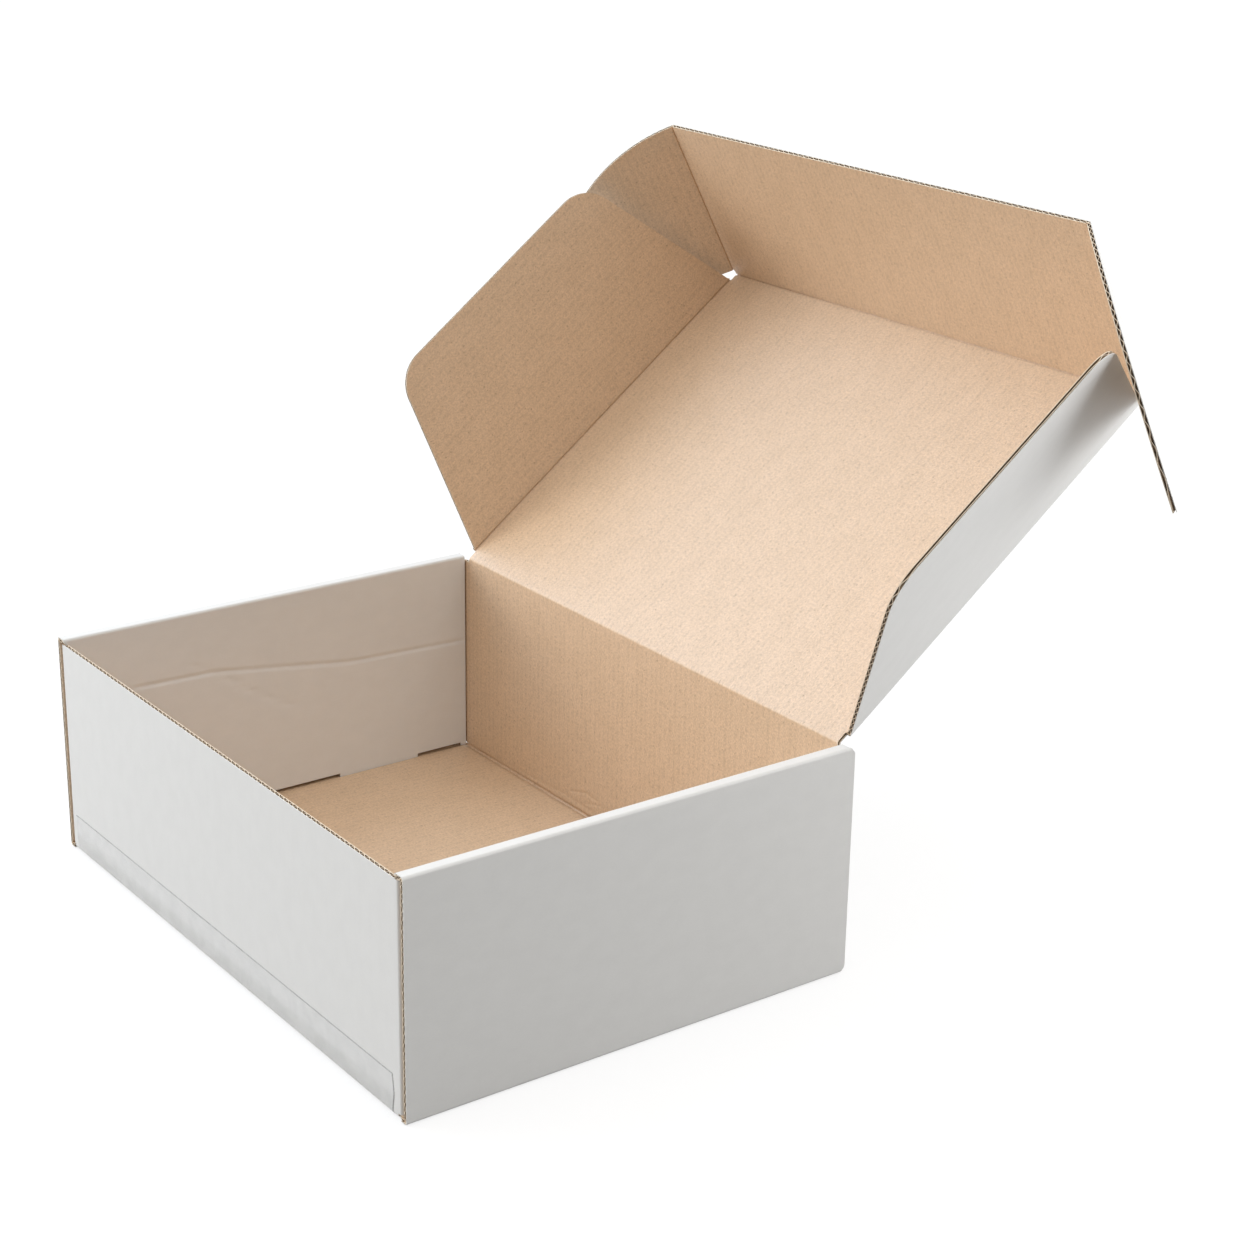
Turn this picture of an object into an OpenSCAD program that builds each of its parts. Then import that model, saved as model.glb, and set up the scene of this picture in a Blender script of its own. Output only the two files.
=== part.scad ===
// Open corrugated mailer: a folded tray with double side walls and a hinged lid with a tuck flap.
// Millimetres. X runs across the box, Y from the front wall to the rear wall, Z up from the surface it stands on.

/* [Tray] */
// Outer width across the side walls
box_w = 280; // [200:1:400]
// Outer depth from the front wall to the rear wall
box_d = 203; // [140:1:300]
// Height of the side walls
wall_h = 97; // [70:1:140]
// Length of the corner flaps held inside the double side walls
corner_flap_l = 58; // [30:1:65]
// Length of the lock tabs at the foot of the inner side walls
tab_l = 42; // [20:1:50]
// Distance of each lock tab from the middle of the box's depth
tab_pos = 51; // [28:1:60]
// Rounding at the rear corners of the side walls
rear_round = 2.5; // [1.5:0.5:8]

/* [Board] */
// Thickness of the corrugated board
board = 1.8; // [1.2:0.1:3]
// Inner radius of a pressed fold
fold_r = 0.4; // [0.2:0.1:0.6]
// Space between the layers of a double side wall
layer_gap = 0.2; // [0.1:0.05:0.5]
// Room for a lock tab in its slot, on every side
slot_clear = 0.3; // [0.1:0.05:0.6]
// Room that stays between two panels at their crease over the whole swing
fold_clear = 0.2; // [0.1:0.05:0.5]

/* [Lid] */
// Opening of the lid from shut, in degrees
lid_open = 143; // [95:1:190]
// Room between the shut tuck flap and the front wall
tuck_gap = 6.4; // [1:0.1:12]
// Room between a shut lid flap and the inner side wall
flap_gap = 0.4; // [0.2:0.1:2]
// How much less than the wall height the lid flaps reach
flap_short = 10; // [4:1:20]
// Taper of the lid flaps' ends, in degrees
flap_taper = 18; // [8:0.5:20]
// Rounding of the lid flaps' free corners
flap_round = 18; // [8:1:25]
// Distance of a lid flap's ends from the lid's hinge and from its front crease
flap_end = 4.5; // [2:0.5:8]
// Fold of the left lid flap from flat, in degrees
left_flap_fold = 76.5; // [70:0.5:95]
// Fold of the right lid flap from flat, in degrees
right_flap_fold = 59; // [50:0.5:95]

/* [Tuck flap] */
// How much less than the wall height the tuck flap reaches
tuck_short = 12; // [6:1:25]
// Fold of the tuck flap from flat, in degrees
tuck_fold = 81.5; // [60:0.5:90]
// Distance of an ear's lower edge from the lid's front crease
ear_end = 3; // [2:0.5:8]
// Fold of the left ear from flat, in degrees
left_ear_fold = 53; // [10:0.5:56]
// Fold of the right ear from flat, in degrees
right_ear_fold = 40.5; // [10:0.5:42]

/* [Tape] */
// Height of the tape on the front wall
tape_h = 17; // [8:0.5:40]
// Thickness of the tape
tape_t = 0.1; // [0.05:0.01:0.3]
// Distance of the tape's ends from the ends of the front wall
tape_end = 3.5; // [1:0.5:20]

/* [Hidden] */
$fn = 64;

white_liner = [0.93, 0.93, 0.92];
clear_film = [0.86, 0.87, 0.86, 0.45];

// Outer radius of a fold, the run of panel drawn with it, and the thickness of a side wall with the corner
// flap between its two layers
fold_o = fold_r + board;
fold_run = board / 4;
side_t = 3 * board + 2 * layer_gap;

// Inner face of the inner side walls, outer face of the corner flaps, and half the flat width of an end wall
inner_x = box_w / 2 - side_t;
corner_x = box_w / 2 - board - layer_gap;
end_x = corner_x - fold_o;

// The side walls roll over the ends of the front wall, so it stops below their inner fold
front_h = wall_h - fold_o - layer_gap;
inner_y = box_d / 2 - board - layer_gap;

// Every hinge axis lies in the middle of the board. The fixed panel stands back from it by fold_set, which
// leaves fold_clear when the hinged panel has turned by fold_most to either side.
fold_most = 115;
fold_set = board / 2 * tan(fold_most / 2) + fold_clear;
nose_fit = 0.95;
nose_r = nose_fit * board / 2;

// The lid's hinge, at the top of the rear wall, level with the tops of the side walls when the lid is shut
hinge_y = (box_d - board) / 2;
hinge_z = wall_h - board / 2;
rear_h = hinge_z - fold_set;

// Half the distance between the creases of the lid flaps, and the lid's depth from hinge to front crease
crease_x = inner_x - flap_gap - board / 2;
lid_d = box_d - 2 * board - tuck_gap;
panel_x = crease_x - fold_set;
flap_d = wall_h - flap_short;
tuck_h = wall_h - tuck_short;

// A flap's corner circles stand past the edges that they join by this much, so that they cross them
round_over = board / 6;

tab_slot_w = board + 2 * slot_clear;
tab_tip = slot_clear;
corner_flap_taper = 6;
// The tape follows the front fold down to this angle, short of the surface that the box stands on
tape_wrap = 65;
// The torn right end slants by tape_tear, with its point this share of the way up
tape_tear = 2.5;
tape_tear_at = 0.6;

// Quarter ring of a pressed fold, between the directions +x and +y, with a short run of each panel it joins
module fold_section() {
    intersection() {
        difference() {
            circle(fold_o);
            circle(fold_r);
        }
        square(fold_o);
    }
    translate([fold_r, -fold_run]) square([board, fold_run]);
    translate([-fold_run, fold_r]) square([fold_run, board]);
}

// A section drawn in Y and Z, carried along X over a length centred on the box
module along_x(length) {
    rotate([90, 0, 90]) linear_extrude(length, center = true) children();
}

// A section drawn in X and Z, carried along Y between two places
module along_y(from, to) {
    translate([0, to, 0]) rotate([90, 0, 0]) linear_extrude(to - from) children();
}

// The bottom panel with the four slots that take the lock tabs
module bottom_panel() {
    difference() {
        translate([-box_w / 2 + fold_o, -box_d / 2 + fold_o, 0])
            cube([box_w - 2 * fold_o, box_d - 2 * fold_o, board]);
        for (side = [-1, 1], place = [-1, 1])
            translate([side * (inner_x + board / 2), place * tab_pos, board / 2])
                cube([tab_slot_w, tab_l + 2 * slot_clear, 2 * board], center = true);
    }
}

// An end wall of a given height with its bottom fold, at the front
module end_wall(height) {
    along_x(2 * end_x) translate([-box_d / 2 + fold_o, fold_o]) rotate(180) fold_section();
    translate([-end_x, -box_d / 2, fold_o]) cube([2 * end_x, board, height - fold_o]);
}

// Corner flap at the front right: a fold at the end of the wall, and a tapered flap inside the side wall
module corner_flap() {
    foot = fold_o + layer_gap;
    reach = front_h - layer_gap;
    slope = corner_flap_l * tan(corner_flap_taper);
    translate([corner_x - fold_o, -box_d / 2 + fold_o, foot])
        mirror([0, 1, 0]) linear_extrude(reach - foot) fold_section();
    translate([corner_x - board, -box_d / 2 + fold_o, 0])
        rotate([90, 0, 90]) linear_extrude(board)
            polygon([[0, foot], [corner_flap_l, foot + slope], [corner_flap_l, reach - slope], [0, reach]]);
}

// Outline of the outer side wall between its folds, with rounded rear corners
module side_outline() {
    low = fold_o;
    high = wall_h - fold_o;
    front = -box_d / 2;
    rear = box_d / 2;
    translate([front, low]) square([box_d - rear_round, high - low]);
    translate([rear - 2 * rear_round, low + rear_round])
        square([2 * rear_round, high - low - 2 * rear_round]);
    for (z = [low + rear_round, high - rear_round]) translate([rear - rear_round, z]) circle(rear_round);
}

// Right side wall: outer panel, roll-over top, and inner panel with its lock tabs
module side_wall() {
    fold_end = box_d / 2 - rear_round;
    along_y(-box_d / 2, fold_end) {
        translate([box_w / 2 - fold_o, fold_o]) rotate(-90) fold_section();
        translate([box_w / 2 - fold_o, wall_h - fold_o]) fold_section();
        translate([inner_x + fold_o, wall_h - board]) square([side_t - 2 * fold_o, board]);
        translate([inner_x + fold_o, wall_h - fold_o]) rotate(90) fold_section();
    }
    translate([box_w / 2 - board, 0, 0]) rotate([90, 0, 90]) linear_extrude(board) side_outline();
    foot = board + layer_gap;
    translate([inner_x, -inner_y, foot]) cube([board, inner_y + fold_end, wall_h - fold_o - foot]);
    translate([inner_x, 0, foot]) cube([board, inner_y, wall_h - fold_o - foot - rear_round]);
    for (place = [-1, 1])
        translate([inner_x, place * tab_pos - tab_l / 2, tab_tip]) cube([board, tab_l, foot + board - tab_tip]);
}

// The tray, folded from one sheet
module tray() {
    color(white_liner) union() {
        bottom_panel();
        end_wall(front_h);
        mirror([0, 1, 0]) end_wall(rear_h);
        for (side = [0, 1]) mirror([side, 0, 0]) {
            side_wall();
            for (end = [0, 1]) mirror([0, end, 0]) corner_flap();
        }
    }
}

// Clear tape on the front wall, torn off aslant at its right end, bent round the bottom fold
module front_tape() {
    reach = end_x - tape_end;
    color(clear_film) intersection() {
        along_x(2 * reach) {
            translate([-box_d / 2 - tape_t, fold_o]) square([tape_t, tape_h - fold_o]);
            translate([-box_d / 2 + fold_o, fold_o]) intersection() {
                difference() {
                    circle(fold_o + tape_t);
                    circle(fold_o);
                }
                polygon([[0, 0], [-2 * fold_o, 0], [-2 * fold_o, -2 * fold_o * tan(tape_wrap)]]);
            }
        }
        translate([0, -box_d / 2, 0]) rotate([90, 0, 0]) linear_extrude(box_d, center = true)
            polygon([[-reach, -tape_h], [reach - tape_tear, -tape_h], [reach, tape_tear_at * tape_h],
                     [reach - tape_tear, tape_h], [-reach, tape_h]]);
    }
}

// Round nose of a hinged panel, along +Y from one place to another, with its axis on the crease
module crease_nose(from, to) {
    translate([0, to, 0]) rotate([90, 0, 0]) cylinder(r = nose_r, h = to - from);
}

// A flat panel of the board's thickness from its outline, with the crease axes in its middle plane
module panel() {
    translate([0, 0, -board / 2]) linear_extrude(board) children();
}

// The lid's own frame: hinge along X, +Y towards its front crease, +Z on its inner face
module at_lid() {
    translate([0, hinge_y, hinge_z]) rotate([180 - lid_open, 0, 0]) children();
}

// The tuck flap's own frame: crease along X, +Y towards its free edge, +Z on its inner face
module at_tuck() {
    at_lid() translate([0, lid_d, 0]) rotate([tuck_fold, 0, 0]) children();
}

// The frame of a panel hinged at the right or left crease: +X away from the crease, +Y along it
module at_crease(side, fold) {
    mirror([side < 0 ? 1 : 0, 0, 0]) translate([crease_x, 0, 0]) rotate([0, -fold, 0]) children();
}

// A panel that runs across the box between its side creases, hinged at its near edge
module cross_panel(depth) {
    panel() translate([-panel_x, 0]) square([2 * panel_x, depth]);
    rotate([0, 0, -90]) crease_nose(-panel_x, panel_x);
}

// The lid between its four creases
module lid() {
    color(white_liner) at_lid() cross_panel(lid_d - fold_set);
}

// A lid flap: tapered ends and rounded free corners
module lid_flap() {
    near = flap_end;
    far = lid_d - flap_end;
    slope = tan(flap_taper);
    reach = flap_d - flap_round;
    round_x = reach + round_over;
    round_y = reach * slope + flap_round / cos(flap_taper) - round_over;
    straight_x = reach + flap_round * sin(flap_taper);
    panel() intersection() {
        polygon([[0, near], [flap_d, near + flap_d * slope], [flap_d, far - flap_d * slope], [0, far]]);
        union() {
            translate([0, near]) square([straight_x, far - near]);
            translate([0, near + round_y]) square([flap_d, far - near - 2 * round_y]);
            for (y = [near + round_y, far - round_y]) translate([round_x, y]) circle(flap_round);
        }
    }
    crease_nose(near, far);
}

module lid_left_flap() {
    color(white_liner) at_lid() at_crease(-1, left_flap_fold) lid_flap();
}

module lid_right_flap() {
    color(white_liner) at_lid() at_crease(1, right_flap_fold) lid_flap();
}

// The tuck flap at the lid's front
module tuck_flap() {
    color(white_liner) at_tuck() cross_panel(tuck_h);
}

// An ear of the tuck flap: a quarter round about the corner of the lid
module tuck_ear() {
    panel() intersection() {
        circle(tuck_h);
        translate([0, ear_end]) square(tuck_h);
    }
    crease_nose(ear_end, tuck_h - nose_r);
}

module tuck_left_ear() {
    color(white_liner) at_tuck() at_crease(-1, left_ear_fold) tuck_ear();
}

module tuck_right_ear() {
    color(white_liner) at_tuck() at_crease(1, right_ear_fold) tuck_ear();
}

tray();
front_tape();
lid();
lid_left_flap();
lid_right_flap();
tuck_flap();
tuck_left_ear();
tuck_right_ear();
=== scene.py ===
import bpy
import numpy as np
from mathutils import Matrix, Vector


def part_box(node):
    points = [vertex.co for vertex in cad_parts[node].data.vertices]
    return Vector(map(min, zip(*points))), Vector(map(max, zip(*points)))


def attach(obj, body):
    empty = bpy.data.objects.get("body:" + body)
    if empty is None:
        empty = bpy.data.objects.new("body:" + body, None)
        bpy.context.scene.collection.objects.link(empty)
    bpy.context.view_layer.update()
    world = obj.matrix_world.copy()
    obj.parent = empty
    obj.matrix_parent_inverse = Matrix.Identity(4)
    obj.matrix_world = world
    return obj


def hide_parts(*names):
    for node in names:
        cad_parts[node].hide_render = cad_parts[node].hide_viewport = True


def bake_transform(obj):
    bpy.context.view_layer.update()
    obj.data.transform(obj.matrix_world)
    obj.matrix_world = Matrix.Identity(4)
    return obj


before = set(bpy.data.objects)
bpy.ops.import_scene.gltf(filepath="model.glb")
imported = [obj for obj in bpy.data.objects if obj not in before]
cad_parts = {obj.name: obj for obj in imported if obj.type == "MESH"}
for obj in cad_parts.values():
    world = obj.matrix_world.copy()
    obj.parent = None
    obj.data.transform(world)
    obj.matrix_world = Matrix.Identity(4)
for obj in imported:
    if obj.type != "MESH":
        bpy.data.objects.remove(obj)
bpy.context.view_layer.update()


# Bottom with the front and rear walls: the middle run of the die-cut sheet, corrugated board with a white
# liner outside, a kraft liner inside and a fluted paper between. The walls stand up along two pressed
# scores, and the flutes run from front to rear, so a wall's top edge shows their ends.
tray_low, tray_high = (np.array(corner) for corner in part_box("tray"))
box_w, box_d, wall_h = tray_high - tray_low
board = 0.0018
liner = 0.0003
medium = 0.00026
flute_pitch = 0.0034
layer_gap = 0.0002
fold_r = 0.0004
fold_o = fold_r + board
fold_mid = fold_r + board / 2
side_t = 3 * board + 2 * layer_gap
inner_x = box_w / 2 - side_t
corner_x = box_w / 2 - board - layer_gap
end_x = corner_x - fold_o
front_h = wall_h - fold_o - layer_gap
fold_set = 0.00161
hinge_z = wall_h - board / 2
hinge_y = (box_d - board) / 2
rear_h = hinge_z - fold_set
tab_l = 0.042
tab_pos = 0.051
slot_clear = 0.0003
slot_in = inner_x - slot_clear
slot_out = inner_x + board + slot_clear
slot_half = tab_l / 2 + slot_clear
corner_set = 0.0014
wall_end = end_x - corner_set


def folded_run(corners, radius, steps=8, margin=0.00015):
    """Path through the corners, with an arc of the given radius in place of each inner corner. An arc's
    points lie one radius from a centre on the side of the turn, from the first run's normal to the next
    run's, and a point just before and just after it keeps the runs flat. Gives the length along the path,
    the points, the normals to the left of the path, and the lengths at which each arc begins and ends."""
    corners = np.asarray(corners, float)
    runs = np.diff(corners, axis=0)
    runs /= np.linalg.norm(runs, axis=1, keepdims=True)
    left = np.stack([-runs[:, 1], runs[:, 0]], axis=1)
    points, normals = [corners[:1]], [left[:1]]
    for i in range(len(runs) - 1):
        turn = np.arctan2(left[i] @ runs[i + 1], runs[i] @ runs[i + 1])
        angles = np.linspace(0, turn, steps + 1)
        normal = np.cos(angles)[:, None] * left[i] - np.sin(angles)[:, None] * runs[i]
        centre = corners[i + 1] - runs[i] * radius * np.tan(abs(turn) / 2) + np.sign(turn) * radius * left[i]
        arc = centre - np.sign(turn) * radius * normal
        points += [arc[:1] - margin * runs[i], arc, arc[-1:] + margin * runs[i + 1]]
        normals += [left[i : i + 1], normal, left[i + 1 : i + 2]]
    points = np.concatenate(points + [corners[-1:]])
    normals = np.concatenate(normals + [left[-1:]])
    along = np.concatenate([[0], np.cumsum(np.linalg.norm(np.diff(points, axis=0), axis=1))])
    begins = 2 + np.arange(len(runs) - 1) * (steps + 3)
    return along, points, normals, np.stack([along[begins], along[begins + steps]], axis=1)


def on_path(path, along, height):
    """Points at a length along a folded path and at a height through the board, measured from its outer
    face: the path's own point plus the normal times the height above the board's middle."""
    lengths, points, normals, _ = path
    level = height - board / 2
    return tuple(
        np.interp(along, lengths, points[:, k]) + level * np.interp(along, lengths, normals[:, k])
        for k in (0, 1)
    )


def stations(low, high, step, extra=()):
    """Places from low to high no more than a step apart, with the extra ones that lie between."""
    extra = np.asarray(extra, float)
    even = np.linspace(low, high, max(2, int(np.ceil((high - low) / step)) + 1))
    inside = extra[(extra > low + 1e-6) & (extra < high - 1e-6)]
    return np.unique(np.round(np.concatenate([even, inside]), 8))


def layer(place, u, v, low, high, faces):
    """One paper layer: a grid of u by v at two heights through the board, closed by a rim all round. Faces
    gives the finishes of its outer side, its inner side and its rim."""
    n, m = v.shape
    across = np.broadcast_to(u[:, None], v.shape)
    low, high = (np.broadcast_to(h, v.shape) for h in (low, high))
    points = np.concatenate([np.stack(place(across, v, h), axis=-1).reshape(-1, 3) for h in (low, high)])
    coords = np.tile(np.stack([across, v], axis=-1).reshape(-1, 2), (2, 1))
    grid = np.arange(n * m).reshape(n, m)
    cells = np.stack([grid[:-1, :-1], grid[1:, :-1], grid[1:, 1:], grid[:-1, 1:]], axis=-1).reshape(-1, 4)
    ring = np.concatenate([grid[:, 0], grid[-1, 1:], grid[-2::-1, -1], grid[0, -2:0:-1]])
    after = np.roll(ring, -1)
    rim = np.stack([ring, after, after + n * m, ring + n * m], axis=1)
    quads = np.concatenate([cells[:, ::-1], cells + n * m, rim])
    kinds = np.repeat(faces, [len(cells), len(cells), len(rim)])
    flat = np.repeat([False, False, True], [len(cells), len(cells), len(rim)])
    a, b, c, d = (points[quads[:, k]] for k in range(4))
    volume = np.einsum("ij,ij->", a, np.cross(b, c) + np.cross(c, d))
    return points, coords, quads if volume > 0 else quads[:, ::-1], kinds, flat


# The last finish, on the faces inside the board that show only through cut ends, is dark partly as a darker
# fluting paper and partly as painted shade in the hollows between the liners.
# The third finish, on the cut edges of kraft and fluting, is pale partly from raw fibre and partly as a
# painted highlight of edges lit from above.
WHITE, KRAFT, CUT, PALE_CUT, DARK_PAPER_AND_SHADE = range(5)


def board_layers(
    place,
    u_range,
    v_ends,
    sheet,
    u_step=0.004,
    v_step=0.02,
    extra=((), ()),
    finer=None,
    sunk=None,
    dented=None,
):
    """The three papers of a piece of board. u crosses the flutes, and v_ends gives where the piece begins
    and ends along them. The fluted paper rises and falls between the liners as a cosine of the place on the
    sheet. Sunk and dented give how deep the inner and the outer liner are pressed in at a place, and the
    fluted paper gives way. Extra gives more places in u and v for all three papers, and finer gives more for
    the one paper it names."""
    papers = []
    for paper in ("outside", "fluting", "inside"):
        more_u, more_v = extra
        if finer is not None and finer[0] == paper:
            more_u, more_v = (np.concatenate([e, f]) for e, f in zip(extra, finer[1:]))
        u = stations(*u_range, flute_pitch / 8 if paper == "fluting" else u_step, more_u)
        begin, end = (np.broadcast_to(e, u.shape) for e in v_ends(u))
        span = stations(begin.min(), end.max(), v_step, more_v)
        share = (span - span[0]) / (span[-1] - span[0])
        v = begin[:, None] + (end - begin)[:, None] * share
        roof = board - (0 if sunk is None else sunk(u[:, None], v))
        ground = 0 if dented is None else dented(u[:, None], v)
        wave = np.cos(2 * np.pi * (sheet[0] + sheet[2] * u) / flute_pitch)[:, None]
        middle = board / 2 + wave * (board - 2 * liner - medium) / 2
        middle = np.clip(middle, ground + liner + medium / 2, roof - liner - medium / 2)
        # The faces inside the board take the dark finish: darker paper with painted shade.
        low, high, faces = {
            "outside": (ground, ground + liner, (WHITE, DARK_PAPER_AND_SHADE, PALE_CUT)),
            # The fluting and kraft rims take the pale cut finish, partly a painted highlight.
            "fluting": (middle - medium / 2, middle + medium / 2, (DARK_PAPER_AND_SHADE, DARK_PAPER_AND_SHADE, CUT)),
            "inside": (roof - liner, roof, (DARK_PAPER_AND_SHADE, KRAFT, CUT)),
        }[paper]
        points, coords, quads, kinds, flat = layer(place, u, v, low, high, faces)
        on_sheet = np.stack([sheet[0] + sheet[2] * coords[:, 0], sheet[1] + coords[:, 1]], axis=1)
        papers.append((points, on_sheet / flute_pitch, quads, kinds, flat))
    return papers


def crease_depth(across, up, bends, deep, wide):
    """Depth of a dent that follows a bent line: a bell curve of the distance to the nearest of its straight
    runs."""
    nearest = np.full(np.broadcast(across, up).shape, np.inf)
    for (x0, z0), (x1, z1) in zip(bends[:-1], bends[1:]):
        share = ((across - x0) * (x1 - x0) + (up - z0) * (z1 - z0)) / ((x1 - x0) ** 2 + (z1 - z0) ** 2)
        share = np.clip(share, 0, 1)
        nearest = np.minimum(nearest, np.hypot(across - x0 - share * (x1 - x0), up - z0 - share * (z1 - z0)))
    return deep * np.exp(-((nearest / wide) ** 2))


def score_depth(path, along, deep, lip=0.00025):
    """How deep the scores of a folded path are pressed in: a trench with steep sides, as wide as the fold's
    arc and a lip on either side of it."""
    depth = 0
    for begin, end in path[3]:
        depth = depth + deep * np.exp(-(((along - (begin + end) / 2) / ((end - begin) / 2 + lip)) ** 6))
    return depth


def finish_nodes(name, roughness, specular):
    """A new material with its shader, the sheet's own coordinates in flutes, and its nodes and links."""
    material = bpy.data.materials.new(name)
    material.use_nodes = True
    nodes, links = material.node_tree.nodes, material.node_tree.links
    shader = nodes["Principled BSDF"]
    shader.inputs["Roughness"].default_value = roughness
    shader.inputs["Specular IOR Level"].default_value = specular
    sheet_map = nodes.new("ShaderNodeUVMap")
    sheet_map.uv_map = "sheet"
    return material, nodes, links, shader, sheet_map.outputs["UV"]


def grain(nodes, links, coords, stretch, detail, low, high):
    """Noise on the sheet's coordinates, stretched by so many cells a flute across and along the flutes, and
    spread from 0 to 1 between two of its values."""
    turn = nodes.new("ShaderNodeMapping")
    turn.inputs["Scale"].default_value = (*stretch, 1)
    links.new(coords, turn.inputs["Vector"])
    noise = nodes.new("ShaderNodeTexNoise")
    noise.noise_dimensions = "2D"
    noise.inputs["Scale"].default_value = 1
    noise.inputs["Detail"].default_value = detail
    links.new(turn.outputs["Vector"], noise.inputs["Vector"])
    spread = nodes.new("ShaderNodeMapRange")
    spread.inputs["From Min"].default_value = low
    spread.inputs["From Max"].default_value = high
    links.new(noise.outputs["Fac"], spread.inputs["Value"])
    return spread.outputs["Result"]


def washboard(nodes, links, coords):
    """The shallow ripple that the flutes press into a liner: a sine of the place across them, from 0 to
    1."""
    parts = nodes.new("ShaderNodeSeparateXYZ")
    links.new(coords, parts.inputs["Vector"])
    turn = nodes.new("ShaderNodeMath")
    turn.operation = "MULTIPLY"
    turn.inputs[1].default_value = 2 * np.pi
    links.new(parts.outputs["X"], turn.inputs[0])
    wave = nodes.new("ShaderNodeMath")
    wave.operation = "SINE"
    links.new(turn.outputs["Value"], wave.inputs[0])
    spread = nodes.new("ShaderNodeMapRange")
    spread.inputs["From Min"].default_value = -1
    links.new(wave.outputs["Value"], spread.inputs["Value"])
    return spread.outputs["Result"]


def tinted(nodes, links, base, share, dark, light):
    """A colour between a dark and a light one by a share, times the colour before it where there is one."""
    ramp = nodes.new("ShaderNodeMix")
    ramp.data_type = "RGBA"
    ramp.inputs["A"].default_value = (*dark, 1)
    ramp.inputs["B"].default_value = (*light, 1)
    links.new(share, ramp.inputs["Factor"])
    if base is None:
        return ramp.outputs["Result"]
    product = nodes.new("ShaderNodeMix")
    product.data_type = "RGBA"
    product.blend_type = "MULTIPLY"
    product.inputs["Factor"].default_value = 1
    links.new(base, product.inputs["A"])
    links.new(ramp.outputs["Result"], product.inputs["B"])
    return product.outputs["Result"]


def raised(nodes, links, share, height, under=None):
    """A bump of a height in metres from a share, on top of another bump where there is one."""
    bump = nodes.new("ShaderNodeBump")
    bump.inputs["Distance"].default_value = height
    links.new(share, bump.inputs["Height"])
    if under is not None:
        links.new(under, bump.inputs["Normal"])
    return bump.outputs["Normal"]


def coated_white():
    """Clay-coated white paper: almost even, with a faint cloudiness and the weakest trace of the flutes."""
    material, nodes, links, shader, coords = finish_nodes("coated_white_liner", 0.5, 0.4)
    cloud = grain(nodes, links, coords, (0.5, 0.35), 2, 0.3, 0.7)
    fibre = grain(nodes, links, coords, (5, 3), 2, 0.25, 0.75)
    ripple = washboard(nodes, links, coords)
    colour = tinted(nodes, links, None, cloud, (0.758, 0.756, 0.744), (0.774, 0.772, 0.760))
    colour = tinted(nodes, links, colour, fibre, (0.985, 0.985, 0.985), (1, 1, 1))
    links.new(colour, shader.inputs["Base Color"])
    links.new(raised(nodes, links, ripple, 0.000008), shader.inputs["Normal"])
    return material


def kraft():
    """Brown test liner: short fibres, dark flecks, slow clouds, and the lines of the flutes, broken up."""
    material, nodes, links, shader, coords = finish_nodes("kraft_liner", 0.42, 0.9)
    cloud = grain(nodes, links, coords, (0.3, 0.2), 2, 0.3, 0.7)
    fibre = grain(nodes, links, coords, (4.4, 3.4), 3, 0.28, 0.72)
    fleck = grain(nodes, links, coords, (2.6, 1.9), 1, 0.72, 0.8)
    dash = grain(nodes, links, coords, (0.9, 1.3), 2, 0.35, 0.7)
    ripple = washboard(nodes, links, coords)
    broken = nodes.new("ShaderNodeMath")
    broken.operation = "MULTIPLY"
    links.new(ripple, broken.inputs[0])
    links.new(dash, broken.inputs[1])
    colour = tinted(nodes, links, None, cloud, (0.70, 0.514, 0.346), (0.73, 0.538, 0.366))
    colour = tinted(nodes, links, colour, fibre, (0.855, 0.838, 0.822), (1.095, 1.10, 1.105))
    colour = tinted(nodes, links, colour, broken.outputs["Value"], (1.02, 1.02, 1.02), (0.905, 0.895, 0.885))
    colour = tinted(nodes, links, colour, fleck, (1, 1, 1), (0.74, 0.70, 0.66))
    links.new(colour, shader.inputs["Base Color"])
    ribbed = raised(nodes, links, broken.outputs["Value"], 0.00005)
    links.new(raised(nodes, links, fibre, 0.00006, ribbed), shader.inputs["Normal"])
    return material


def cut_paper(name, dark, light):
    """A fibrous paper finish between a dark and a light colour, for the cut edges of the layers and for the
    faces inside the board.
    """
    material, nodes, links, shader, coords = finish_nodes(name, 0.85, 0.2)
    fibre = grain(nodes, links, coords, (5, 5), 4, 0.3, 0.7)
    links.new(tinted(nodes, links, None, fibre, dark, light), shader.inputs["Base Color"])
    return material


finishes = [
    coated_white(),
    kraft(),
    # Cut kraft and fluting edges: pale raw fibre, with a painted highlight where the edges catch the light
    # from above.
    cut_paper("cut_kraft_fibre_and_highlight", (0.80, 0.67, 0.51), (0.92, 0.81, 0.66)),
    cut_paper("cut_white_liner", (0.74, 0.72, 0.68), (0.80, 0.79, 0.765)),
    # Faces inside the board: a darker fluting paper, with painted shade in the hollows between the liners.
    cut_paper("fluting_inside_paper_and_shade", (0.34, 0.245, 0.165), (0.46, 0.345, 0.24)),
]


def sharpen(mesh, flat):
    """Marks as sharp each edge of a flat face, so that a rim doesn't bend the light on the face beside
    it."""
    around = np.empty(len(mesh.loops), np.int32)
    mesh.loops.foreach_get("edge_index", around)
    sharp = np.zeros(len(mesh.edges), bool)
    sharp[around.reshape(-1, 4)[flat]] = True
    mesh.edges.foreach_set("use_edge_sharp", sharp)


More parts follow.
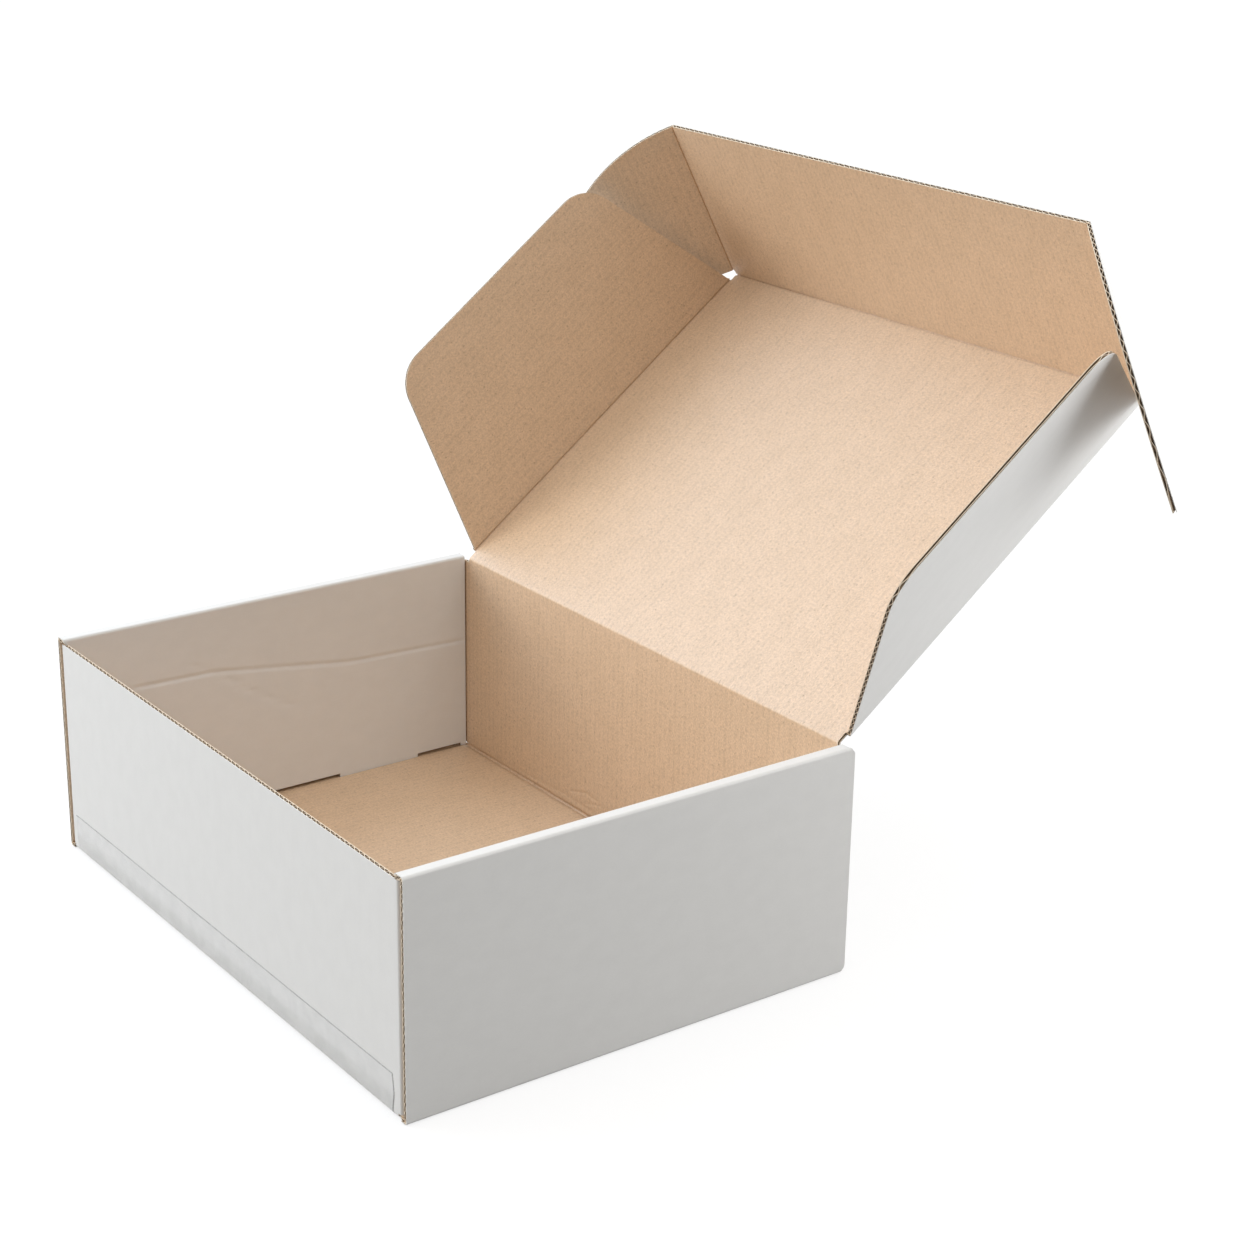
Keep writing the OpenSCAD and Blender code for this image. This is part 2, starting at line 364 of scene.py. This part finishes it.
def mesh_object(name, points, coords, quads, kinds, flat, materials):
    """A mesh from its points and four-sided faces, with each face's material, smoothness and coordinates."""
    mesh = bpy.data.meshes.new(name)
    mesh.from_pydata(points.tolist(), [], quads.tolist())
    mesh.polygons.foreach_set("material_index", kinds.astype(np.int32))
    mesh.polygons.foreach_set("use_smooth", ~flat)
    sheet_map = mesh.uv_layers.new(name="sheet")
    sheet_map.data.foreach_set("uv", coords[quads.ravel()].astype(np.float32).ravel())
    sharpen(mesh, flat)
    for material in materials:
        mesh.materials.append(material)
    mesh.update()
    piece = bpy.data.objects.new(name, mesh)
    bpy.context.collection.objects.link(piece)
    return piece


def board_object(name, papers):
    """Joins paper layers into one object of the white board."""
    counts = np.cumsum([0] + [len(p[0]) for p in papers])
    points = np.concatenate([p[0] for p in papers])
    coords = np.concatenate([p[1] for p in papers])
    quads = np.concatenate([p[2] + counts[i] for i, p in enumerate(papers)])
    kinds = np.concatenate([p[3] for p in papers])
    flat = np.concatenate([p[4] for p in papers])
    piece = mesh_object(name, points, coords, quads, kinds, flat, finishes)
    return piece


front_y = -box_d / 2 + board / 2
middle_path = folded_run(
    [(front_y, front_h), (front_y, board / 2), (-front_y, board / 2), (-front_y, rear_h)], fold_mid
)
middle_length = middle_path[0][-1]
bottom_middle = middle_path[3][:, ::-1].diagonal().mean()
slot_ends = [
    bottom_middle + place * tab_pos + half
    for place in (-1, 1)
    for half in (-slot_half, slot_half)
]


def in_middle(u, v, height):
    """The middle run: u is the place across the box, and the path through front wall, bottom and rear wall
    gives depth and height."""
    y, z = on_path(middle_path, v, height)
    return u, y, z


rear_begin = middle_path[3][1, 1]
wrinkle_wide = 0.0007
wall_score_deep = 0.0008
rear_wrinkles = [
    ([(-0.047, 0.0095), (-0.036, 0.0125), (-0.027, 0.0115)], 0.00026),
    ([(-0.036, 0.0075), (-0.024, 0.0105)], 0.0002),
    ([(-0.110, 0.0035), (-0.050, 0.0060), (-0.020, 0.0050)], 0.00016),
]
wrinkle_u = np.linspace(-0.05, -0.02, 90)
wrinkle_v = rear_begin + np.linspace(0, 0.016, 32)


def pressed_middle(u, v):
    """How deep the kraft face of the middle run is pressed in: its two scores, and wrinkles at the rear
    wall's foot."""
    foot = v - rear_begin + fold_o
    wrinkles = [crease_depth(u, foot, bends, deep, wrinkle_wide) for bends, deep in rear_wrinkles]
    return score_depth(middle_path, v, wall_score_deep) + np.max(wrinkles, axis=0)


def middle_piece(u_range, v_range):
    """A piece of the middle run between two places across the box and two lengths along its path."""
    return board_layers(
        in_middle,
        u_range,
        lambda u: v_range,
        (0, 0, 1),
        v_step=0.05,
        extra=((), middle_path[0]),
        finer=("inside", wrinkle_u, wrinkle_v),
        sunk=pressed_middle,
    )


into_fold = 0.0015
bottom_ends = (middle_path[3][0, 1] - into_fold, middle_path[3][1, 0] + into_fold)
middle_papers = middle_piece((-slot_in, slot_in), (0, middle_length))
for low, high in ((slot_in, wall_end), (-wall_end, -slot_in)):
    for v_range in ((0, slot_ends[0]), (slot_ends[1], slot_ends[2]), (slot_ends[3], middle_length)):
        middle_papers += middle_piece((low, high), v_range)
for low, high in ((wall_end, slot_out), (-slot_out, -wall_end)):
    for v_range in ((bottom_ends[0], slot_ends[0]), slot_ends[1:3], (slot_ends[3], bottom_ends[1])):
        middle_papers += middle_piece((low, high), tuple(v_range))
bottom_and_ends = board_object("bottom_front_and_rear_walls", middle_papers)
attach(bottom_and_ends, "tray")
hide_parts("tray")


# Side walls: each stands up from the bottom, rolls over at the top and comes down again inside, white on
# both faces that show. Lock tabs at the foot of the inner layer press through slots in the bottom and hold
# the roll. The flutes lie level here, so the front ends show them.
rear_round = 0.0025
tab_tip = 0.0003
foot_gap = 0.0016
foot = board + foot_gap
heel = board + layer_gap
heel_l = 0.003
rear_gap = 0.0005
rear_shift = 0.0004
tight_r = 0.0003
tight_deep = 0.0009
tight_lip = 0.0007


def score_places(path, reach=0.0011):
    """Places across each score of a folded path, close enough to carry its trench."""
    return np.concatenate([np.linspace(begin - reach, end + reach, 25) for begin, end in path[3]])


side_path = folded_run(
    [
        (slot_out, board / 2),
        (box_w / 2 - board / 2, board / 2),
        (box_w / 2 - board / 2, wall_h - board / 2),
        (inner_x + board / 2, wall_h - board / 2),
        (inner_x + board / 2, tab_tip),
    ],
    tight_r,
)
side_lengths, side_points, _, side_folds = side_path
outer_begin = side_folds[0, 1]
roll_begin = side_folds[1, 0]
roll_end = side_folds[2, 1]
foot_at = side_lengths[-1] - (foot - tab_tip)
heel_at = side_lengths[-1] - (heel - tab_tip)
inner_front = -(box_d / 2 - board - layer_gap)
inner_rear = -inner_front - rear_gap
fold_rear = box_d / 2 - rear_round
left_dents = [
    (
        [(-0.070, 0.0684), (-0.0626, 0.0681), (-0.0313, 0.0673), (0.037, 0.0574), (0.0958, 0.0553)],
        0.0005,
        0.0009,
    ),
    ([(-0.0436, 0.0733), (-0.0313, 0.0673)], 0.0003, 0.0008),
    ([(-0.0313, 0.0673), (-0.0149, 0.0551), (0.0049, 0.0434)], 0.0003, 0.0010),
]
rear_arc = rear_round * np.linspace(0, 1, 8) - rear_shift
rear_places = np.concatenate([outer_begin + rear_arc, roll_begin - rear_arc])


def side_ends(u):
    """Front and rear ends of a side wall along its path: the outer layer's rear corners follow a quarter
    circle from each fold, and the inner layer stands back at both ends."""
    near_fold = np.minimum(u - outer_begin, roll_begin - u) + rear_shift
    near_fold = np.clip(near_fold, 0, rear_round)
    bulge = np.sqrt(rear_round**2 - (rear_round - near_fold) ** 2)
    below = np.clip((u - roll_end) / rear_round, 0, 1)
    front = np.where(u > roll_end, -box_d / 2 + below * (inner_front + box_d / 2), -box_d / 2)
    rear = fold_rear + bulge + np.where(u > roll_end, below * (inner_rear - fold_rear), 0)
    return front, rear


dent_u = stations(roll_end, foot_at, 0.0007)
dent_v = stations(-box_d / 2, box_d / 2, 0.004)


def pressed_roll(u, v):
    """How deep the kraft face, which lies inside the roll, is crushed at the three scores."""
    return score_depth(side_path, u, tight_deep, tight_lip)


def dented_side(u, v):
    """How deep the inner layer's white face is pressed in: a long dent from handling, with two short ones
    off it."""
    z = np.interp(u, side_lengths, side_points[:, 1])
    dents = sum(crease_depth(v, z, bends, deep, wide) for bends, deep, wide in left_dents)
    return np.where(u > roll_end, dents, 0)


for side, hand in ((-1, "left"), (1, "right")):

    def in_side(u, v, height, side=side):
        """A side wall: the rolled path gives the place across and up, and v is the place from front to
        rear."""
        x, z = on_path(side_path, u, height)
        return side * x, v, z

    sheet = (slot_out * side, bottom_middle, side)
    side_papers = board_layers(
        in_side,
        (0, foot_at),
        side_ends,
        sheet,
        v_step=0.01,
        extra=(np.concatenate([side_lengths, score_places(side_path), rear_places]), ()),
        finer=("outside", dent_u, dent_v) if side < 0 else None,
        sunk=pressed_roll,
        dented=dented_side if side < 0 else None,
    )
    for place in (-1, 1):
        tab_ends = (place * tab_pos - tab_l / 2, place * tab_pos + tab_l / 2)
        heel_ends = (inner_front, inner_front + heel_l) if place < 0 else (inner_rear - heel_l, inner_rear)
        for low, ends in ((side_lengths[-1], tab_ends), (heel_at, heel_ends)):
            side_papers += board_layers(
                in_side, (foot_at, low), lambda u, ends=ends: ends, sheet, u_step=0.001
            )
    side_wall = board_object(f"{hand}_side_wall", side_papers)
    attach(side_wall, "tray")
    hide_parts("tray")


# Corner flaps: the four ends of the front and rear walls, folded round the corner and held between the two
# layers of a side wall. They keep the corners square, and only their folds show at the box's upright edges.
corner_flap_l = 0.058
corner_taper = np.tan(np.radians(6))
corner_foot = fold_o + layer_gap
corner_top = front_h - layer_gap
corner_run = 0.008
corner_path = folded_run(
    [
        (wall_end, front_y),
        (corner_x - corner_set - board / 2, front_y),
        (corner_x - board / 2, front_y + corner_run),
        (corner_x - board / 2, -box_d / 2 + fold_o + corner_flap_l),
    ],
    tight_r,
)
corner_score = (*corner_path[:3], corner_path[3][:1])


def corner_ends(u):
    """Lower and upper edge of a corner flap: level round the fold, then drawn in by the taper."""
    slope = np.clip(u - corner_path[3][0, 1], 0, None) * corner_taper
    return corner_foot + slope, corner_top - slope


for end, row in ((1, "front"), (-1, "rear")):
    for side, hand in ((-1, "left"), (1, "right")):

        def in_corner(u, v, height, side=side, end=end):
            """A corner flap: the path round the corner gives the place on the ground plan, and v the
            height."""
            x, y = on_path(corner_path, u, height)
            return side * x, end * y, v

        flap = board_object(
            f"{row}_{hand}_corner_flap",
            board_layers(
                in_corner,
                (0, corner_path[0][-1]),
                corner_ends,
                (side * wall_end, 0, side),
                extra=(np.concatenate([corner_path[0], score_places(corner_score)]), ()),
                sunk=lambda u, v: score_depth(corner_score, u, tight_deep, tight_lip),
            ),
        )
        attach(flap, "tray")


# Lid: the top panel, which goes on from the rear wall over a score that is its hinge. It stands open,
# leaning back, with its kraft face to the front. The board itself bends at the score, so the fold is its
# own strip.
lid_open = np.radians(143)
lid_out = np.array([0, -np.cos(lid_open), np.sin(lid_open)])
lid_in = np.array([0, -np.sin(lid_open), -np.cos(lid_open)])
hinge = np.array([0, hinge_y, hinge_z])
tuck_gap = 0.0064
lid_d = box_d - 2 * board - tuck_gap
flap_gap = 0.0004
crease_x = inner_x - flap_gap - board / 2
panel_x = crease_x - fold_set
score_r = board / 2 + 0.0001
score_deep = 0.0006
lid_sheet = middle_length + fold_set


def on_axes(origin, *steps):
    """Points at an origin plus each step's length along its own direction, as three arrays."""
    return tuple(origin[k] + sum(length * way[k] for length, way in steps) for k in range(3))


def on_frame(origin, right, out, inward):
    """A flat panel: an origin plus u to the right, v outwards and the height above the board's middle
    inwards."""

    def place(u, v, height):
        return on_axes(origin, (u, right), (v, out), (height - board / 2, inward))

    return place


def fold_path(turn):
    """Section of a pressed score: two runs as long as the panels stand back from the crease, turned about
    it, with an arc as tight as the board allows."""
    begin = (-fold_set, 0)
    end = (fold_set * np.cos(turn), fold_set * np.sin(turn))
    return folded_run([begin, (0, 0), end], score_r, steps=10)


across_box = np.array([1.0, 0, 0])
up = np.array([0, 0, 1.0])
lid_panel = board_object(
    "lid_panel",
    board_layers(
        on_frame(hinge, across_box, lid_out, lid_in),
        (-panel_x, panel_x),
        lambda u: (fold_set, lid_d - fold_set),
        (0, lid_sheet, 1),
    ),
)
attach(lid_panel, "lid")
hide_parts("lid")

hinge_turn = lid_open - np.pi / 2
hinge_path = fold_path(-hinge_turn)


def in_hinge_fold(u, v, height):
    """The hinge's fold: its path lies in the plane of the rear wall's height and depth."""
    along, off = on_path(hinge_path, v, height)
    return u, hinge_y - off, hinge_z + along


hinge_fold = board_object(
    "lid_hinge_fold",
    board_layers(
        in_hinge_fold,
        (-panel_x, panel_x),
        lambda u: (0, hinge_path[0][-1]),
        (0, middle_length, 1),
        v_step=0.0005,
        extra=((), hinge_path[0]),
    ),
)
halfway = (up + lid_out) / np.linalg.norm(up + lid_out)
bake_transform(hinge_fold)


# Lid flaps: the two dust flaps at the lid's sides, tapered at both ends and rounded at the free corners,
# which drop inside the side walls when the box is shut. Each is half folded, on a score along the lid's
# side.
flap_short = 0.010
flap_d = wall_h - flap_short
flap_taper = np.radians(18)
flap_round = 0.018
flap_end = 0.0045
left_flap_turn = np.radians(76.5)
right_flap_turn = np.radians(59)


def flap_ends(u):
    """Where a lid flap begins and ends along the score: set in by the taper, and from where the rounding
    touches the slanted end, by a circle that touches the free edge too."""
    centre = flap_d - flap_round
    inset = centre * np.tan(flap_taper) + flap_round / np.cos(flap_taper)
    over = np.clip(u - centre, 0, flap_round)
    circle = inset - np.sqrt(np.clip(flap_round**2 - over**2, 0, None))
    straight = u * np.tan(flap_taper)
    edge = flap_end + np.where(u < centre + flap_round * np.sin(flap_taper), straight, circle)
    return edge, lid_d - edge


for side, hand, turn in ((-1, "left", left_flap_turn), (1, "right", right_flap_turn)):
    crease = hinge + side * crease_x * across_box
    aside = side * across_box * np.cos(turn) + lid_in * np.sin(turn)
    inward = lid_in * np.cos(turn) - side * across_box * np.sin(turn)
    sheet = (side * crease_x, lid_sheet, side)
    rounding = flap_d - flap_round * (1 - np.sin(np.linspace(0, np.pi / 2, 24)))
    flap = board_object(
        f"{hand}_lid_flap_panel",
        board_layers(
            on_frame(crease, aside, lid_out, inward),
            (fold_set, flap_d),
            flap_ends,
            sheet,
            extra=(rounding, ()),
        ),
    )
    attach(flap, f"{hand}_flap")
    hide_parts(f"lid_{hand}_flap")

    flap_path = fold_path(turn)

    def in_flap_fold(u, v, height, crease=crease, side=side, flap_path=flap_path):
        """A lid flap's fold: its path lies in the plane of the lid's width and its inward side."""
        along, off = on_path(flap_path, u, height)
        return on_axes(crease, (along, side * across_box), (off, lid_in), (v, lid_out))

    fold = board_object(
        f"{hand}_lid_flap_fold",
        board_layers(
            in_flap_fold,
            (0, flap_path[0][-1]),
            lambda u: (flap_end, lid_d - flap_end),
            (side * (crease_x - fold_set), lid_sheet, side),
            u_step=0.0001,
            extra=(flap_path[0], ()),
            sunk=lambda u, v, path=flap_path: score_depth(path, u, score_deep),
        ),
    )
    halfway = side * across_box + aside
    halfway /= np.linalg.norm(halfway)
    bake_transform(fold)


# Tuck flap: the lid's front panel, which slides inside the front wall when the box is shut. Its free edge
# is cut across the flutes, and it stands almost square to the lid.
tuck_short = 0.012
tuck_h = wall_h - tuck_short
tuck_turn = np.radians(81.5)
tuck_crease = hinge + lid_d * lid_out
tuck_out = lid_out * np.cos(tuck_turn) + lid_in * np.sin(tuck_turn)
tuck_in = lid_in * np.cos(tuck_turn) - lid_out * np.sin(tuck_turn)
tuck_sheet = lid_sheet + lid_d
tuck_panel = board_object(
    "tuck_panel",
    board_layers(
        on_frame(tuck_crease, across_box, tuck_out, tuck_in),
        (-panel_x, panel_x),
        lambda u: (fold_set, tuck_h),
        (0, tuck_sheet, 1),
    ),
)
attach(tuck_panel, "tuck")
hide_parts("tuck_flap")

tuck_path = fold_path(tuck_turn)


def in_tuck_fold(u, v, height):
    """The tuck flap's fold: its path lies in the plane of the lid's depth and its inward side."""
    along, off = on_path(tuck_path, v, height)
    return on_axes(tuck_crease, (u, across_box), (along, lid_out), (off, lid_in))


tuck_fold = board_object(
    "tuck_fold",
    board_layers(
        in_tuck_fold,
        (-panel_x, panel_x),
        lambda u: (0, tuck_path[0][-1]),
        (0, tuck_sheet - fold_set, 1),
        v_step=0.0001,
        extra=((), tuck_path[0]),
        sunk=lambda u, v: score_depth(tuck_path, v, score_deep),
    ),
)
halfway = (lid_out + tuck_out) / np.linalg.norm(lid_out + tuck_out)
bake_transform(tuck_fold)


# Ears of the tuck flap: a quarter round at each end, which goes down between the side wall and the lid flap
# and keeps the shut lid from springing up. They lean in on their scores, outside the lid flaps.
ear_end = 0.003
ear_tip = 1.2 * ear_end
left_ear_turn = np.radians(53)
right_ear_turn = np.radians(40.5)


def ear_ends(u):
    """Where an ear begins and ends along its score: from just above the lid's corner to a circle about that
    corner."""
    return np.full(u.shape, ear_end), np.sqrt(np.clip(tuck_h**2 - u**2, ear_end**2, None))


for side, hand, turn in ((-1, "left", left_ear_turn), (1, "right", right_ear_turn)):
    crease = tuck_crease + side * crease_x * across_box
    aside = side * across_box * np.cos(turn) + tuck_in * np.sin(turn)
    inward = tuck_in * np.cos(turn) - side * across_box * np.sin(turn)
    reach = np.sqrt(tuck_h**2 - ear_tip**2)
    rounding = tuck_h * np.sin(np.linspace(0, np.pi / 2, 60))
    ear = board_object(
        f"{hand}_ear_panel",
        board_layers(
            on_frame(crease, aside, tuck_out, inward),
            (fold_set, reach),
            ear_ends,
            (side * crease_x, tuck_sheet, side),
            extra=(rounding, ()),
        ),
    )
    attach(ear, f"{hand}_ear")
    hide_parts(f"tuck_{hand}_ear")

    ear_path = fold_path(turn)

    def in_ear_fold(u, v, height, crease=crease, side=side, ear_path=ear_path):
        """An ear's fold: its path lies in the plane of the tuck flap's width and its inward side."""
        along, off = on_path(ear_path, u, height)
        return on_axes(crease, (along, side * across_box), (off, tuck_in), (v, tuck_out))

    fold = board_object(
        f"{hand}_ear_fold",
        board_layers(
            in_ear_fold,
            (0, ear_path[0][-1]),
            lambda u: (ear_end, tuck_h),
            (side * (crease_x - fold_set), tuck_sheet, side),
            u_step=0.0001,
            extra=(ear_path[0], ()),
            sunk=lambda u, v, path=ear_path: score_depth(path, u, score_deep),
        ),
    )
    halfway = side * across_box + aside
    halfway /= np.linalg.norm(halfway)
    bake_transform(fold)


# Tape: one strip of clear packing film along the foot of the front wall, pressed down by hand and bent
# round the bottom fold. Its right end is torn off on a serrated blade.
tape_h = 0.017
tape_t = 0.0001
tape_end = 0.0035
tape_wrap = np.radians(65)
tape_tear = 0.0025
tape_reach = end_x - tape_end
tape_off = 0.00003
tear_at = 0.45
tooth_wide = 0.0011
tooth_deep = 0.0009


def on_tape(u, v, height):
    """The tape's face: down the front wall, then round the fold's outer arc, a height outside the board."""
    straight = tape_h - fold_o
    angle = np.clip(v - straight, 0, None) / fold_o
    out = fold_o + tape_off + height
    y = -box_d / 2 + fold_o - out * np.cos(angle)
    z = np.where(v < straight, tape_h - v, fold_o - out * np.sin(angle))
    return u, y, z


tape_length = tape_h - fold_o + fold_o * tape_wrap
tape_v = stations(0, tape_length, 0.0006)
tape_share = np.linspace(0, 1, 240)
teeth = np.abs((tape_v / tooth_wide) % 1 - 0.5) * tooth_deep
torn = tape_reach - tape_tear * np.abs(tape_v / tape_length - tear_at) - teeth
tape_u = -tape_reach + (torn[None, :] + tape_reach) * tape_share[:, None]
tape_grid = np.broadcast_to(tape_v, tape_u.shape)


def clear_film():
    """Clear film: see-through and glossy, a little uneven where air lies under it. Its upper part lies flat
    and is pale, and it turns greyer towards the bottom."""
    material, nodes, links, shader, coords = finish_nodes("clear_film", 0.2, 0.5)
    air = grain(nodes, links, coords, (30, 120), 1, 0.3, 0.7)
    parts = nodes.new("ShaderNodeSeparateXYZ")
    links.new(coords, parts.inputs["Vector"])
    # The film turns greyer towards the bottom, from 7.5 to 10.5 mm below its top edge.
    lower_part = nodes.new("ShaderNodeMapRange")
    lower_part.interpolation_type = "SMOOTHSTEP"
    lower_part.inputs["From Min"].default_value = 0.0075
    lower_part.inputs["From Max"].default_value = 0.0105
    links.new(parts.outputs["Y"], lower_part.inputs["Value"])
    flat_film, lower_film = (0.93, 0.935, 0.95), (0.60, 0.605, 0.60)
    colour = tinted(nodes, links, None, lower_part.outputs["Result"], flat_film, lower_film)
    edges = []
    for axis, inside, outside in (("Y", 0.0006, 0.0001), ("X", 0.9965, 0.9985)):
        edge = nodes.new("ShaderNodeMapRange")
        edge.inputs["From Min"].default_value = inside
        edge.inputs["From Max"].default_value = outside
        links.new(parts.outputs[axis], edge.inputs["Value"])
        edges.append(edge.outputs["Result"])
    rim = nodes.new("ShaderNodeMath")
    rim.operation = "MAXIMUM"
    links.new(edges[0], rim.inputs[0])
    links.new(edges[1], rim.inputs[1])
    colour = tinted(nodes, links, colour, rim.outputs["Value"], (1, 1, 1), (0.3, 0.3, 0.3))
    links.new(colour, shader.inputs["Base Color"])
    haze = nodes.new("ShaderNodeMapRange")
    haze.inputs["To Min"].default_value = 0.08
    haze.inputs["To Max"].default_value = 0.12
    links.new(air, haze.inputs["Value"])
    thicker = nodes.new("ShaderNodeMath")
    thicker.operation = "MULTIPLY_ADD"
    thicker.inputs[1].default_value = 0.25
    links.new(rim.outputs["Value"], thicker.inputs[0])
    links.new(haze.outputs["Result"], thicker.inputs[2])
    links.new(thicker.outputs["Value"], shader.inputs["Alpha"])
    return material


film_layer = layer(
    lambda share, v, height: on_tape(tape_u, v, height), tape_share, tape_grid, 0, tape_t, (0, 0, 0)
)
film = mesh_object("front_tape_film", *film_layer, [clear_film()])
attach(film, "tray")
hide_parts("front_tape")


# Studio: a white table that keeps the box's soft shadow, a large bluish light from the left, a low panel
# behind on the right, a fill from the front left, and the camera above the front right corner.
table_half = 6
table_drop = 0.0004
table_corners = [
    (x * table_half, y * table_half, -table_drop) for x, y in ((-1, -1), (1, -1), (1, 1), (-1, 1))
]
floor_mesh = bpy.data.meshes.new("table_top")
floor_mesh.from_pydata(table_corners, [], [(0, 1, 2, 3)])
floor = bpy.data.objects.new("table_top", floor_mesh)
bpy.context.collection.objects.link(floor)
floor_paint = bpy.data.materials.new("white_table")
floor_paint.use_nodes = True
paint_nodes, paint_links = floor_paint.node_tree.nodes, floor_paint.node_tree.links
paint_nodes["Principled BSDF"].inputs["Base Color"].default_value = (0.25, 0.25, 0.25, 1)
paint_nodes["Principled BSDF"].inputs["Roughness"].default_value = 0.9
paint_nodes["Principled BSDF"].inputs["Specular IOR Level"].default_value = 0
paint_nodes["Principled BSDF"].inputs["Emission Color"].default_value = (1, 1, 1, 1)


def background_rays(nodes, links):
    """1 for the rays that show the background: those from the camera, off gloss and through clear things."""
    rays = nodes.new("ShaderNodeLightPath")
    total = rays.outputs["Is Camera Ray"]
    for kind in ("Is Glossy Ray", "Is Transmission Ray"):
        either = nodes.new("ShaderNodeMath")
        either.operation = "MAXIMUM"
        links.new(total, either.inputs[0])
        links.new(rays.outputs[kind], either.inputs[1])
        total = either.outputs["Value"]
    return total


glow = paint_nodes.new("ShaderNodeMath")
glow.operation = "MULTIPLY"
glow.inputs[1].default_value = 0.76
paint_links.new(background_rays(paint_nodes, paint_links), glow.inputs[0])
paint_links.new(glow.outputs["Value"], paint_nodes["Principled BSDF"].inputs["Emission Strength"])
floor_mesh.materials.append(floor_paint)

world = bpy.data.worlds.new("studio")
bpy.context.scene.world = world
world.use_nodes = True
sky_nodes, sky_links = world.node_tree.nodes, world.node_tree.links
sky = sky_nodes["Background"]
sky.inputs["Color"].default_value = (1.02, 1, 0.97, 1)
facing = sky_nodes.new("ShaderNodeTexCoord")
away = sky_nodes.new("ShaderNodeVectorMath")
away.operation = "DOT_PRODUCT"
away.inputs[1].default_value = (0.6, -0.25, -0.75)
sky_links.new(facing.outputs["Generated"], away.inputs[0])
dimmed = sky_nodes.new("ShaderNodeMapRange")
dimmed.inputs["From Min"].default_value = 0
dimmed.inputs["From Max"].default_value = 0.27
dimmed.inputs["To Min"].default_value = 1.15
dimmed.inputs["To Max"].default_value = 0
sky_links.new(away.outputs["Value"], dimmed.inputs["Value"])
sky_links.new(dimmed.outputs["Result"], sky.inputs["Strength"])
backdrop = sky_nodes.new("ShaderNodeBackground")
backdrop.inputs["Color"].default_value = (1, 1, 1, 1)
backdrop.inputs["Strength"].default_value = 1
chosen = sky_nodes.new("ShaderNodeMixShader")
sky_links.new(background_rays(sky_nodes, sky_links), chosen.inputs["Fac"])
sky_links.new(sky.outputs["Background"], chosen.inputs[1])
sky_links.new(backdrop.outputs["Background"], chosen.inputs[2])
sky_links.new(chosen.outputs["Shader"], sky_nodes["World Output"].inputs["Surface"])


def standing(right, above, back, at):
    """A matrix for something at a place, from its own three directions."""
    matrix = Matrix.Identity(4)
    for column, way in enumerate((right, above, back, at)):
        for row in range(3):
            matrix[row][column] = way[row]
    return matrix


def soft_light(name, at, aim, size, watts, colour=(1, 1, 1)):
    """A square soft light at a place, turned to a point: its back is the line from the point to the
    light."""
    lamp = bpy.data.lights.new(name, "AREA")
    lamp.color = colour
    lamp.size = size
    lamp.energy = watts
    holder = bpy.data.objects.new(name, lamp)
    holder.visible_camera = False
    bpy.context.collection.objects.link(holder)
    back = np.array(at, float) - np.array(aim, float)
    back /= np.linalg.norm(back)
    right = np.cross((0, 0, 1), back)
    right /= np.linalg.norm(right)
    holder.matrix_world = standing(right, np.cross(back, right), back, at)


box_centre = (0, 0.05, 0.12)
soft_light("left_softbox", (-0.95, -0.4, 1.0), box_centre, 0.8, 4.5, (0.68, 0.96, 1.32))
soft_light("rear_panel", (0.4, 0.5, 0.05), box_centre, 0.7, 3)
soft_light("front_fill", (-1.1, -1.3, 0.4), box_centre, 0.8, 10.5, (1.02, 1, 0.97))

camera_at = (0.80491, -0.49939, 0.47603)
azimuth, elevation, roll = np.radians((53.634, 20.335, 0.958))
back = np.array(
    [np.sin(azimuth) * np.cos(elevation), -np.cos(azimuth) * np.cos(elevation), np.sin(elevation)]
)
level = np.array([np.cos(azimuth), np.sin(azimuth), 0])
upright = np.cross(back, level)
right = np.cos(roll) * level + np.sin(roll) * upright
above = -np.sin(roll) * level + np.cos(roll) * upright
lens = bpy.data.cameras.new("camera")
lens.sensor_width = 36
lens.lens = 72.6
lens.clip_end = 100
viewer = bpy.data.objects.new("camera", lens)
bpy.context.collection.objects.link(viewer)
viewer.matrix_world = standing(right, above, back, camera_at)
bpy.context.scene.camera = viewer
bpy.context.scene.view_settings.view_transform = "Standard"
